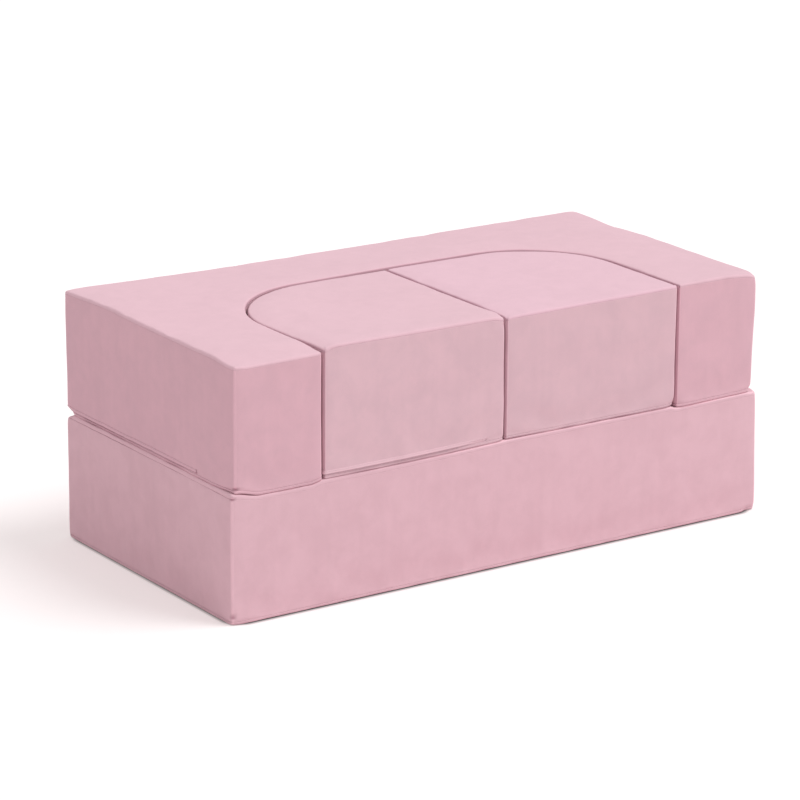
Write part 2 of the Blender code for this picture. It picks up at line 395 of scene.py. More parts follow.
# Along the front edge: where a stretch starts and ends, and how far its underside droops there.
FRONT_DROOPS = (
    (arch_low.x, -MOUTH_HALF, leg_droop),
    (left_low.x, left_high.x, lambda share: 5.6 * MM - 4.0 * MM * share ** 3),
    (right_low.x, right_high.x, lambda share: 1.0 * MM + 1.0 * MM * share),
    (MOUTH_HALF, arch_high.x, lambda share: 5.6 * MM - 2.4 * MM * share),
)
DROOP_SPREAD = 15 * MM
DROOP_DEPTH = 90 * MM
DROOP_HEIGHT = 45 * MM


def droop_under(x):
    """How far the blocks above have pressed down the slab's front edge at x."""
    deepest = np.zeros(len(x))
    for start, end, droop in FRONT_DROOPS:
        share = np.clip((x - start) / (end - start), 0, 1)
        beyond = np.maximum(np.maximum(start - x, x - end), 0)
        deepest = np.maximum(deepest, droop(share) * (1 - smooth_step(beyond, 0, DROOP_SPREAD)))
    return deepest


def droop_above(x):
    """How far an upper block's own front edge droops at x."""
    total = np.zeros(len(x))
    for start, end, droop in FRONT_DROOPS:
        on = (x > start - BLOCK_GAP) & (x < end + BLOCK_GAP)
        total[on] = droop(np.clip((x[on] - start) / (end - start), 0, 1))
    return total


def settle(points, block):
    """Lowers the front edge where the blocks press on the slab, on both sides of the contact."""
    level = BASE_TOP if block == "base" else UPPER_BOTTOM
    droop = droop_under(points[:, 0]) if block == "base" else droop_above(points[:, 0])
    fade = hump(points[:, 1] - FRONT, DROOP_DEPTH) * hump(points[:, 2] - level, DROOP_HEIGHT)
    points[:, 2] -= droop * fade


# How high the filled tops crown, as (x, height) pairs along the front edge and farther back, and
# how far behind the front edge the second row holds.
LEFT, RIGHT, BACK = base_low.x, base_high.x, base_high.y
CROWNS = {
    "arch": (
        ((LEFT, 0), (-MOUTH_HALF, 1 * MM), (MOUTH_HALF, 5.5 * MM), (RIGHT - 60 * MM, 5.5 * MM), (RIGHT, 0)),
        ((LEFT, 8.5 * MM), (-MOUTH_HALF, 4 * MM), (0, 6.5 * MM), (MOUTH_HALF, 5 * MM),
         (RIGHT - 60 * MM, 5 * MM), (RIGHT, 0)),
        60 * MM,
    ),
    "left_corner": (
        ((left_low.x, 9.5 * MM), (left_high.x, 6.5 * MM)),
        ((left_low.x, 4 * MM), (left_high.x, 5 * MM)),
        110 * MM,
    ),
    "right_corner": (
        ((right_low.x, 4 * MM), (right_high.x, 4.5 * MM)),
        ((right_low.x, 5.5 * MM), (right_high.x, 5 * MM)),
        110 * MM,
    ),
}
CROWN_HEIGHT = 70 * MM
CROWN_BACK = 160 * MM
SHOULDER = 1.1 * MM


def crown(cover, points, block):
    """Raises the top, least at the back edge, and drops its rims beside the gaps."""
    x, y, z = cover.points.T
    rows = [np.interp(x, *zip(*pairs)) for pairs in CROWNS[block][:2]]
    behind = smooth_step(y - FRONT, 0, CROWNS[block][2])
    rise = (rows[0] + (rows[1] - rows[0]) * behind) * smooth_step(z, UPPER_TOP - CROWN_HEIGHT, UPPER_TOP)
    if block == "arch":
        rise *= smooth_step(BACK - y, 0, CROWN_BACK)
    else:
        shoulder = cover.per_point(faces_gap(cover, block)) * (z > cover.seams[1])
        rise -= SHOULDER * shoulder
    points[:, 2] += rise


# Local softness: (block, centre in metres, push and reach in millimetres along X, Y and Z).
SOFT_SPOTS = (
    # The arch stands high at its back left and droops at its right.
    ("arch", (LEFT - 60 * MM, BACK, UPPER_TOP), (-1, 0, 7.5), (260, 170, 90)),
    ("arch", (RIGHT, BACK - 110 * MM, UPPER_TOP), (0, 0, -4), (60, 60, 60)),
    ("arch", (LEFT, BACK, UPPER_TOP), (0.5, -0.5, -1), (7, 7, 7)),
    ("arch", (RIGHT, FRONT, UPPER_TOP), (-1.5, 1.5, -3.5), (12, 12, 12)),
    ("arch", (RIGHT, FRONT, UPPER_BOTTOM), (-4, 0, 0), (60, 200, 110)),
    ("arch", (RIGHT, BACK, UPPER_TOP), (-1, -1, -1), (8, 8, 8)),
    ("arch", (LEFT, FRONT, UPPER_TOP), (0, 0, 2), (14, 14, 14)),
    # Its left leg is pulled in along the near vertical edge.
    ("arch", (LEFT, FRONT, UPPER_TOP), (6, 0, 0), (70, 36, 600)),
    # Notches between the layers at the ends of the contact.
    ("arch", (LEFT, BACK, UPPER_BOTTOM), (6.5, -6.5, 5), (15, 15, 7)),
    ("base", (LEFT, BACK, BASE_TOP), (6.5, -6.5, -4), (15, 15, 6)),
    ("arch", (RIGHT, FRONT, UPPER_BOTTOM), (-2.5, 2, 2), (8, 8, 6)),
    ("base", (RIGHT, FRONT, BASE_TOP), (-3.5, 2, -3), (9, 9, 8)),
    ("arch", (RIGHT, BACK, UPPER_BOTTOM), (-3, -3, 3), (12, 12, 8)),
    ("base", (RIGHT, BACK, BASE_TOP), (-3, -3, -3), (12, 12, 8)),
    ("base", (RIGHT, FRONT, BASE_BOTTOM), (-5, 4, 0.6), (11, 11, 9)),
    ("base", (LEFT, FRONT, BASE_BOTTOM), (1, 1, 1), (7, 7, 7)),
    ("base", (LEFT, BACK, BASE_BOTTOM), (1, -1, 1), (6, 6, 6)),
    # The corners beside the gaps.
    ("right_corner", (right_high.x, FRONT, UPPER_BOTTOM), (-2.5, 2, 2), (10, 10, 8)),
    ("arch", (MOUTH_HALF, FRONT, UPPER_BOTTOM), (1.5, 2, 1), (10, 10, 8)),
    ("left_corner", (left_high.x, FRONT, UPPER_BOTTOM), (-0.5, 1, 0.5), (8, 8, 8)),
    ("left_corner", (left_low.x, MOUTH_BACK - CORNER_RADIUS, UPPER_TOP), (-1.3, 0, 0), (50, 90, 60)),
    ("left_corner", (left_low.x, FRONT, UPPER_TOP), (0.5, 1, -6.5), (12, 50, 13)),
    ("left_corner", (left_high.x, FRONT, UPPER_TOP), (-0.5, 1.5, -4.5), (15, 13, 13)),
    ("right_corner", (right_low.x, FRONT, UPPER_TOP), (0.5, 1, -2.5), (11, 10, 10)),
)
# Puckers where the seams cross the near corner: (block, centre in metres, depth and reach in
# millimetres).
PUCKERS = (
    ("arch", (LEFT, FRONT, UPPER_BOTTOM + 6.7 * MM), 3.0, (6, 6, 2.4)),
    ("base", (LEFT, FRONT, BASE_TOP - 8 * MM), 1.6, (5, 5, 1.8)),
    ("base", (LEFT, FRONT, BASE_BOTTOM + 12 * MM), 1.2, (5, 5, 1.8)),
)
# Painted shade in the puckers.
PUCKER_SHADE = 0.95
# How much longer than the foam the covers stand at the ends.
END_GROWTH_FROM = 250 * MM
LEFT_GROWTH = 2.5 * MM
BASE_RIGHT_GROWTH = 6.5 * MM
BASE_RIGHT_LEAN = 5 * MM


def near(points, centre, reach):
    """1 at the centre, falling smoothly to nothing a few reaches, in millimetres, along each axis."""
    return np.exp(-(((points - centre) / (np.array(reach) * MM)) ** 2).sum(axis=1))


def soften(points, block):
    """Moves the points by the block's soft spots."""
    start = points.copy()
    for owner, centre, push, reach in SOFT_SPOTS:
        if owner == block:
            points += near(start, centre, reach)[:, None] * np.array(push) * MM


def pucker_corners(cover, points, block):
    """Sinks the points where a seam crosses the near corner and paints shade into them."""
    for owner, centre, depth, reach in PUCKERS:
        if owner == block:
            share = near(cover.points, centre, reach)
            points[:, :2] += share[:, None] * depth * MM
            cover.seam = np.maximum(cover.seam, share * PUCKER_SHADE)


def grow_ends(points, block):
    """Stretches the long blocks a little at their ends."""
    if block in ("base", "arch"):
        points[:, 0] -= LEFT_GROWTH * smooth_step(-points[:, 0], END_GROWTH_FROM, -LEFT)
    if block == "base":
        amount = BASE_RIGHT_GROWTH + BASE_RIGHT_LEAN * (1 - points[:, 2] / BASE_TOP)
        points[:, 0] += amount * smooth_step(points[:, 0], END_GROWTH_FROM, RIGHT)


# Covers.


def mesh_of(name, points, faces):
    mesh = bpy.data.meshes.new(name)
    mesh.from_pydata([tuple(point) for point in points], [], faces)
    mesh.update()
    return mesh


def link(name, data):
    piece = bpy.data.objects.new(name, data)
    bpy.context.scene.collection.objects.link(piece)
    return piece


def read(mesh, kind):
    """The points of a mesh, or their normals."""
    flat = np.zeros(len(mesh.vertices) * 3, np.float32)
    mesh.vertices.foreach_get(kind, flat)
    return flat.reshape(-1, 3).astype(float)


def normals_of(points, faces):
    mesh = mesh_of("normals", points, faces)
    normals = read(mesh, "normal")
    bpy.data.meshes.remove(mesh)
    return normals


SWELL_FRAMES = 14
SHEET_SETTINGS = {
    "quality": 4,
    "mass": 0.3,
    "tension_stiffness": 30,
    "compression_stiffness": 30,
    "shear_stiffness": 15,
    "bending_stiffness": 4.0,
    "use_pressure": True,
    "uniform_pressure_force": 0.25,
    "shrink_min": -0.001,
}
# How far a sheet may move on its top, at the outside, between blocks and where blocks press.
CAP_TOP = 1.2 * MM
CAP_OUTSIDE = 1.4 * MM
CAP_BETWEEN = 0.5 * MM
CAP_PRESSED = 0.2 * MM
OUTSIDE_MARGIN = 8 * MM
TOP_MARGIN = 2 * MM
# Points this near the level of a block's top or underside are part of that face.
FACE_MARGIN = 1 * MM
# A side faces the front where its normal points towards -Y by more than this.
FRONT_FACING = 0.9
# The front faces' swell grows from nothing at the top seam to its full amount this far below it.
FRONT_SWELL_FROM = 70 * MM


def add_sheet(cover, name):
    """A cover as one cloth, pinned along its seams and underneath."""
    ring_of = np.full(len(cover.points), -1)
    ring_of[:cover.ring_count * cover.count] = np.repeat(np.arange(cover.ring_count), cover.count)
    held = (ring_of == cover.bottom_seam_ring) | (ring_of == cover.top_seam_ring)
    held |= cover.points[:, 2] < cover.bottom + SEAM_ABOVE_BOTTOM
    piece = link(name, mesh_of(name, cover.points, cover.faces))
    group = piece.vertex_groups.new(name="held")
    group.add([int(i) for i in np.nonzero(held)[0]], 1.0, "REPLACE")
    cloth = piece.modifiers.new("cover", "CLOTH")
    for setting, value in SHEET_SETTINGS.items():
        setattr(cloth.settings, setting, value)
    cloth.settings.vertex_group_mass = group.name
    cloth.settings.effector_weights.gravity = 0
    cloth.collision_settings.use_collision = False
    cloth.point_cache.frame_start = 1
    cloth.point_cache.frame_end = SWELL_FRAMES
    return piece


def swell(covers):
    """Blows all the covers up between their pinned seams in one cloth simulation."""
    sheets = {block: add_sheet(cover, block + "_sheet") for block, cover in covers.items()}
    for step in range(1, SWELL_FRAMES + 1):
        bpy.context.scene.frame_set(step)
    graph = bpy.context.evaluated_depsgraph_get()
    for block, cover in covers.items():
        moved = read(sheets[block].evaluated_get(graph).data, "co") - cover.points
        caps = swell_caps(cover, block)
        far = np.linalg.norm(moved, axis=1)
        share = caps * np.tanh(far / np.maximum(caps, TINY)) / np.maximum(far, TINY)
        cover.swollen = cover.points + moved * share[:, None]
    for piece in sheets.values():
        mesh = piece.data
        bpy.data.objects.remove(piece)
        bpy.data.meshes.remove(mesh)
    bpy.context.scene.frame_set(1)


def swell_caps(cover, block):
    """How far the simulation may move each point: least where blocks face each other."""
    points = cover.points
    caps = np.full(len(points), CAP_TOP)
    outer = np.abs(points[:, 0]) > RIGHT - OUTSIDE_MARGIN
    outer |= np.abs(points[:, 1]) > BACK - OUTSIDE_MARGIN
    caps[outer] = CAP_OUTSIDE
    if block == "base":
        caps[points[:, 2] > BASE_TOP - FACE_MARGIN] = CAP_PRESSED
    else:
        caps[~outer & (points[:, 2] < cover.top - TOP_MARGIN)] = CAP_BETWEEN
    caps[points[:, 2] < cover.bottom + SEAM_ABOVE_BOTTOM] = 0.0
    on_front = cover.per_point(cover.outward[:, 1] < -FRONT_FACING) > 0
    below_seam = cover.seams[1] - points[:, 2]
    caps[on_front] *= smooth_step(below_seam[on_front], 0, FRONT_SWELL_FROM)
    return caps


# Painted shade on the walls and rims that face the gaps between blocks and along the line where a block
# stands on another; painted highlights on the bottom seam's lip and on the top rims.
CREASE_SHADE = 0.68
CREASE_BELOW_TOP = 4 * MM
CREASE_FROM_FRONT = 3.5 * MM
CREASE_ON_TOP = 0.2
CONTACT_REACH = 2.1 * MM
LIP_LIGHT = 0.8
RIM_LIGHT = 0.1
SEAM_LINE = SEAM_HALF_WIDTH / 3
GATHER_WIDTH = 9 * MM
# How unevenly the painted shade shows along the seams and the contact line.
UNEVEN_WAVELENGTH = 45 * MM
UNEVEN_MIDDLE = 0.7
UNEVEN_SWING = 0.5
UNEVEN_RANGE = (0.1, 1.2)
# The slab's front rim gets wear and a painted highlight, growing from the first of these places along X to
# the second.
LIT_RIM = (-300 * MM, -50 * MM)
RIM_HEIGHT = 1.5 * TOP_ROUND
FLAT_TOP = TOP_ROUND / 10
LIP_HALF_WIDTH = 1.2 * SEAM_HALF_WIDTH
# A corner block's side faces a gap unless its normal points towards -Y by more than this.
BESIDE_FRONT = 0.8


def faces_gap(cover, block):
    """Which columns of a cover stand against another block across a gap."""
    x, y = cover.outline.T
    if block == "arch":
        return (np.abs(x) < MOUTH_HALF + EDGE_RADIUS / 2) & (y < MOUTH_BACK + FACE_MARGIN)
    return cover.outward[:, 1] > -BESIDE_FRONT


# How strongly painted shade shows along each edge on the front face and on the other sides: the line where
# the block stands on what is below it, its bottom seam and its top seam. The seams' numbers also set how
# much the cloth gathers beside them.
SHOWS = {
    "base": ((0.5, 0.5), (0.0, 0.35), (0.0, 0.5)),
    "arch": ((0.1, 1.0), (0.06, 0.5), (0.04, 0.04)),
    "left_corner": ((0.5, 0.5), (0.1, 0.35), (0.08, 0.08)),
    "right_corner": ((0.85, 0.5), (0.06, 0.3), (0.04, 0.04)),
}


def shade_edges(cover, block):
    """Sets the painted shade of each point in seams, gaps and contact lines, and its wear and painted
    highlight on edges.
    """
    rest = cover.points
    front_facing = cover.per_point(np.maximum(-cover.outward[:, 1], 0) ** 2)
    on_side = cover.per_point(np.ones(cover.count))
    from_top = cover.top - rest[:, 2]
    cover.seam = np.zeros(len(rest))
    cover.near_seam = np.zeros(len(rest))
    waver = ripple(rest, UNEVEN_WAVELENGTH, seed=3)
    uneven = np.clip(UNEVEN_MIDDLE + UNEVEN_SWING * waver, *UNEVEN_RANGE)
    # Painted shade along the contact line and the seams.
    heights = (cover.bottom, *cover.seams)
    widths = (CONTACT_REACH, SEAM_LINE, SEAM_LINE)
    for height, width, (on_front, elsewhere) in zip(heights, widths, SHOWS[block]):
        shows = (elsewhere + (on_front - elsewhere) * front_facing) * on_side
        cover.seam = np.maximum(cover.seam, hump(rest[:, 2] - height, width) * shows * uneven)
        if height > cover.bottom:
            gathers = hump(rest[:, 2] - height, GATHER_WIDTH) * np.clip(shows * 2, 0, 1)
            cover.near_seam = np.maximum(cover.near_seam, gathers)
    # Wear and painted highlight on the top rims: on the slab where LIT_RIM lets it, and only a little on
    # the blocks above.
    rim = from_top < RIM_HEIGHT
    if block == "base":
        cover.edge[rim] *= smooth_step(rest[rim, 0], *LIT_RIM)
        return
    cover.edge[rim] *= RIM_LIGHT
    # A painted highlight along the bottom seam's lip on the front faces, strongest at the left.
    start = left_low.x if block == "left_corner" else LEFT
    along = np.clip((rest[:, 0] - start) / (RIGHT - MOUTH_HALF), 0, 1)
    lip = np.abs(rest[:, 2] - cover.seams[0]) < LIP_HALF_WIDTH
    cover.edge = np.maximum(cover.edge, LIP_LIGHT * lip * front_facing * (1 - along) ** 2)
    # Painted shade on the walls and rims that face a gap.
    creases = np.maximum(hump(from_top, CREASE_BELOW_TOP), hump(rest[:, 1] - FRONT, CREASE_FROM_FRONT))
    creases *= np.where(from_top < TOP_ROUND / 2, CREASE_ON_TOP, 1.0)
    creases *= from_top >= FLAT_TOP
    creases *= cover.per_point(faces_gap(cover, block))
    cover.seam = np.maximum(cover.seam, creases * CREASE_SHADE)


# Ripples in the cloth: (wavelength, height).
WIDE_RIPPLE = (150 * MM, 0.4 * MM)
RIPPLE = (55 * MM, 0.22 * MM)
PUCKER_RIPPLE = (19 * MM, 0.24 * MM)
PRESSED_SHARE = 0.1


def cloth_ripple(points, size, seed):
    wavelength, height = size
    return ripple(points, wavelength, seed) * height


def finish_cover(cover, block):
    """Adds the shapes that the simulation does not give: puckers, grooves, crowns and drooping edges."""
    rest = cover.points
    points = cover.swollen.copy()
    seed = sum(map(ord, block))
    wide = cloth_ripple(rest, WIDE_RIPPLE, seed) + cloth_ripple(rest, RIPPLE, seed + 1)
    pucker = cloth_ripple(rest, PUCKER_RIPPLE, seed + 2)
    shade_edges(cover, block)
    in_seam = np.abs(rest[:, 2:] - cover.seams).min(axis=1) < SEAM_HALF_WIDTH / 2
    groove = cover.seam * in_seam
    contact = rest[:, 2] < cover.bottom + FACE_MARGIN
    if block == "base":
        contact |= rest[:, 2] > BASE_TOP - FACE_MARGIN
    push = (wide + pucker * cover.near_seam) * np.where(contact, PRESSED_SHARE, 1.0)
    push -= groove * SEAM_DEPTH
    points += normals_of(points, cover.faces) * push[:, None]
    if block != "base":
        crown(cover, points, block)
    grow_ends(points, block)
    settle(points, block)
    soften(points, block)
    pucker_corners(cover, points, block)
    cover.moved = points
    cover.normals = normals_of(points, cover.faces)


def add_piece(name, points, faces, look, block):
    """A smooth piece that rides with a block."""
    mesh = mesh_of(name, points, faces)
    mesh.shade_smooth()
    mesh.materials.append(look)
    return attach(link(name, mesh), block)


def paint(piece, name, values):
    layer = piece.data.attributes.new(name, "FLOAT", "POINT")
    layer.data.foreach_set("value", np.asarray(values, np.float32))


def thicken(piece, thickness):
    """Gives a piece of cloth its thickness, towards the inside."""
    shell = piece.modifiers.new("cloth", "SOLIDIFY")
    shell.thickness = thickness
    shell.offset = -1


def add_panel(cover, block, panel, look):
    """One panel of a cover, as cloth with a thickness."""
    faces = [face for face, on in zip(cover.faces, cover.panels) if on == panel]
    used = sorted({index for face in faces for index in face})
    place = {index: i for i, index in enumerate(used)}
    faces = [tuple(place[index] for index in face) for face in faces]
    piece = add_piece(f"{block}_cover_{panel}", cover.moved[used], faces, look, block)
    # Wear and painted highlight on the edges, and painted shade in seams, gaps and contact lines.
    paint(piece, "edge", cover.edge[used])
    paint(piece, "seam", cover.seam[used])
    thicken(piece, CLOTH_THICKNESS)
    return piece


# Zips.

# The left corner block's flap covers its whole zip. On the others, the end of the zip stays open.
CLOSED_FLAPS = ("left_corner",)


def zip_columns(cover, block):
    """(the columns of the zip in order, the columns of its flap in order)."""
    low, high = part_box(block + "_zip_tape_lower")
    body_low, body_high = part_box(block + "_side_band")
    if block == "base":
        start, end = (body_high.x, low.y), (low.x, body_high.y)
    elif block == "left_corner":
        start, end = (body_low.x, high.y), (high.x, body_low.y)
    else:
        start, end = (high.x, body_high.y), (body_low.x, low.y)
    first = np.linalg.norm(cover.outline - start, axis=1).argmin()
    last = np.linalg.norm(cover.outline - end, axis=1).argmin()
    steps = (last - first) % cover.count
    run = [(first + step) % cover.count for step in range(steps + 1)]
    if block in CLOSED_FLAPS:
        return run, run
    slider_low, slider_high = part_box(block + "_zip_slider")
    slider = (slider_low + slider_high) / 2
    gap = np.linalg.norm(cover.outline[run] - (slider.x, slider.y), axis=1)
    return run, [column for column, far in zip(run, gap) if far > GARAGE_HALF]


def open_window(cover, run):
    """Cuts the zip's window out of the band."""
    for ring in range(cover.window_low_ring, cover.window_high_ring):
        for column in run[:-1]:
            cover.panels[ring * cover.count + column] = "window"


# How far the flap stands off the band at each of its rings, from its lip up to its sewn edge.
FLAP_LIFTS = (1.8 * MM, 1.5 * MM, 1.1 * MM, 0.6 * MM, -0.4 * MM)
STITCH_ROW = 3
# A painted highlight on one row of the flap, and painted shade under its lip, between its stitches, above
# them and at its open end.
FLAP_LIGHT_ROW = 1
FLAP_LIGHT = 0.5
LIP_SHADE = 0.55
STITCH_SHADE = 0.3
ABOVE_STITCHES_SHADE = 0.12
FLAP_FADE = 90 * MM
# The share of its lift that a flap has at its ends.
OPEN_FLAP_END = 0.45
CLOSED_FLAP_END = -0.25


def distances(path):
    """How far along a line of points each point is."""
    steps = np.linalg.norm(np.diff(path, axis=0), axis=1)
    return np.concatenate(((0,), np.cumsum(steps)))


def away_from_ends(cover, columns):
    """0 at the ends of a flap, rising smoothly to 1 along it."""
    travelled = distances(cover.outline[columns])
    return smooth_step(np.minimum(travelled, travelled[-1] - travelled), 0, FLAP_FADE)


def flap_points(cover, columns, ring, lift, closed):
    """The flap's points over one ring of the band."""
    end_lift = CLOSED_FLAP_END if closed else OPEN_FLAP_END
    index = ring * cover.count + np.array(columns)
    flat = cover.normals[index] * (1, 1, 0)
    flat /= np.linalg.norm(flat, axis=1)[:, None]
    share = end_lift + (1 - end_lift) * away_from_ends(cover, columns)
    return cover.moved[index] + flat * (lift * share)[:, None]


def shade_flap(cover, columns, row, closed):
    """The painted shade of one row of a flap: under its lip, at the stitches that pull it in and at its
    open end.
    """
    lip = LIP_SHADE * (row == 0)
    if closed:
        return lip * away_from_ends(cover, columns)
    shade = np.full(len(columns), lip + ABOVE_STITCHES_SHADE * (row > STITCH_ROW))
    if row == STITCH_ROW:
        shade += STITCH_SHADE * (np.arange(len(columns)) % 2)
    shade[-1] = LIP_SHADE
    return shade


def add_flap(cover, block, columns, look):
    closed = block in CLOSED_FLAPS
    rings = range(cover.window_low_ring, cover.flap_top_ring + 1)
    points = np.vstack([flap_points(cover, columns, ring, lift, closed)
                        for ring, lift in zip(rings, FLAP_LIFTS)])
    width = len(columns)
    faces = quads(len(rings), width, closed=False)
    piece = add_piece(block + "_flap_cloth", points, faces, look, block)
    # A painted highlight on one row, and painted shade.
    paint(piece, "edge", FLAP_LIGHT * (np.repeat(np.arange(len(rings)), width) == FLAP_LIGHT_ROW))
    shades = [shade_flap(cover, columns, row, closed) for row in range(len(rings))]
    paint(piece, "seam", np.concatenate(shades))
    thicken(piece, FLAP_THICKNESS)
    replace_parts(piece, block + "_zip_flap")


def spindle(centre, along, radius, length):
    """(points, faces) of a thread stitch: a round bar that narrows to both ends."""
    side = Vector(along).cross(Vector((0, 0, 1))).normalized()
    up = side.cross(Vector(along))
    points = []
    for share, width in STITCH_PROFILE:
        for turn in range(STITCH_SIDES):
            angle = 2 * math.pi * turn / STITCH_SIDES
            spoke = side * math.cos(angle) + up * math.sin(angle)
            points.append(Vector(centre) + Vector(along) * share * length + spoke * radius * width)
    faces = quads(len(STITCH_PROFILE), STITCH_SIDES, closed=True)
    faces.append(tuple(range(STITCH_SIDES))[::-1])
    faces.append(tuple(range(len(points) - STITCH_SIDES, len(points))))
    return points, faces


def walk(path, spacing):
    """(place, direction) pairs evenly along a line of points."""
    travelled = distances(path)
    lengths = np.diff(travelled)
    for step in range(int(travelled[-1] / spacing)):
        here = spacing * (step + 0.5)
        segment = np.searchsorted(travelled, here) - 1
        share = (here - travelled[segment]) / lengths[segment]
        along = path[segment + 1] - path[segment]
        yield path[segment] + along * share, along / lengths[segment]


def add_stitches(cover, block, columns, look):
    lift = FLAP_LIFTS[STITCH_ROW] + STITCH_RADIUS * STITCH_PROUD
    path = flap_points(cover, columns, cover.stitch_ring, lift, block in CLOSED_FLAPS)
    points, faces = [], []
    for place, along in walk(path, STITCH_SPACING):
        more_points, more_faces = spindle(place, along, STITCH_RADIUS, STITCH_LENGTH)
        faces += [tuple(index + len(points) for index in face) for face in more_faces]
        points += more_points
    add_piece(block + "_stitches", points, faces, look, block)


def add_foam(cover, block, run, look):
    """The foam inside, a little smaller than the cover, cut back behind the zip."""
    depth = np.full(len(cover.points), FOAM_INSET)
    in_run = np.zeros(cover.count)
    in_run[run] = 1
    height = cover.points[:, 2] - cover.bottom
    behind_zip = cover.per_point(in_run) * (height > REBATE_BOTTOM) * (height < REBATE_TOP)
    depth += behind_zip * (REBATE_INSET - FOAM_INSET)
    rest_normals = normals_of(cover.points, cover.faces)
    depth += cloth_ripple(cover.points, FOAM_ROUGHNESS, seed=7)
    points = cover.moved - rest_normals * depth[:, None]
    piece = add_piece(block + "_foam", points, cover.faces, look, block)
    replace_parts(piece, block + "_foam_core")


# Materials.


def feed(tree, socket, value):
    """Links an input to another node's output, or sets its value."""
    if isinstance(value, bpy.types.NodeSocket):
        tree.links.new(value, socket)
    else:
        socket.default_value = value


def fill(tree, made, **values):
    """Sets a node's settings and inputs. A name that isn't a setting is an input's, with _ for a space."""
    for name, value in values.items():
        if hasattr(made, name):
            setattr(made, name, value)
        else:
            feed(tree, made.inputs[name.replace("_", " ")], value)


def node(tree, kind, **values):
    made = tree.nodes.new(kind)
    fill(tree, made, **values)
    return made


def operation_node(tree, kind, operation, values):
    made = node(tree, kind, operation=operation)
    for socket, value in zip(made.inputs, values):
        feed(tree, socket, value)
    return made


def math_node(tree, operation, *values):
    return operation_node(tree, "ShaderNodeMath", operation, values).outputs[0]


def vector_node(tree, operation, *values):
    made = operation_node(tree, "ShaderNodeVectorMath", operation, values)
    return made.outputs["Value" if operation == "LENGTH" else "Vector"]


def material(name):
    """(the material, its nodes, its surface shader, a socket with the place on the piece)."""
    made = bpy.data.materials.new(name)
    made.use_nodes = True
    tree = made.node_tree
    place = node(tree, "ShaderNodeTexCoord").outputs["Object"]
    return made, tree, tree.nodes["Principled BSDF"], place


def noise(tree, place, scale, detail=2.0, roughness=0.5, distortion=0.0, squeeze=(1, 1, 1)):
    """A noise texture's value, with squeeze stretching it along the axes where it is under 1."""
    stretched = node(tree, "ShaderNodeMapping", Scale=squeeze, Vector=place).outputs["Vector"]
    made = node(tree, "ShaderNodeTexNoise", Vector=stretched, Scale=scale, Detail=detail,
                Roughness=roughness, Distortion=distortion)
    return made.outputs["Fac"]


def toned(tree, colour, tone):
    """A colour times a tone."""
    return node(tree, "ShaderNodeVectorMath", operation="SCALE", Vector=colour, Scale=tone).outputs[0]


def mixed(tree, share, first, second):
    """A colour between two colours."""
    mix = node(tree, "ShaderNodeMix", data_type="RGBA", Factor=share, A=first, B=second)
    return mix.outputs["Result"]


def bumped(tree, height, strength, distance):
    """A surface normal that follows a height."""
    bump = node(tree, "ShaderNodeBump", Strength=strength, Distance=distance, Height=height)
    return bump.outputs["Normal"]


# Microsuede's surface and its noises: soft blotches and smaller patches where the nap lies another
# way, upright streaks and single fibres.
SUEDE_SURFACE = {
    "Roughness": 0.92,
    "Specular_IOR_Level": 0.12,
    "Sheen_Weight": 0.22,
    "Sheen_Roughness": 0.45,
    "Sheen_Tint": (1.0, 0.86, 0.90, 1),
}
BLOTCHES = {"scale": 11.0, "detail": 3.0, "roughness": 0.55, "distortion": 0.7}
PATCHES = {"scale": 34.0, "detail": 3.0, "roughness": 0.6, "distortion": 0.4}
STREAKS = {"scale": 60.0, "squeeze": (1, 1, 0.1)}
FIBRES = {"scale": 1400.0, "roughness": 0.6}
# Between these two values of the noise the nap turns over.
NAP_LOW = 0.40
NAP_HIGH = 0.60
STREAK_CONTRAST = 0.05
FIBRE_CONTRAST = 0.12
FIBRE_BUMP = 0.35
FIBRE_DEPTH = 0.4 * MM
# How much lighter wear and painted highlight make the edges, and the colour that painted shade multiplies
# the cloth by.
EDGE_WEAR_AND_HIGHLIGHT = 0.36
PAINTED_SHADE_TINT = (0.44, 0.29, 0.35)


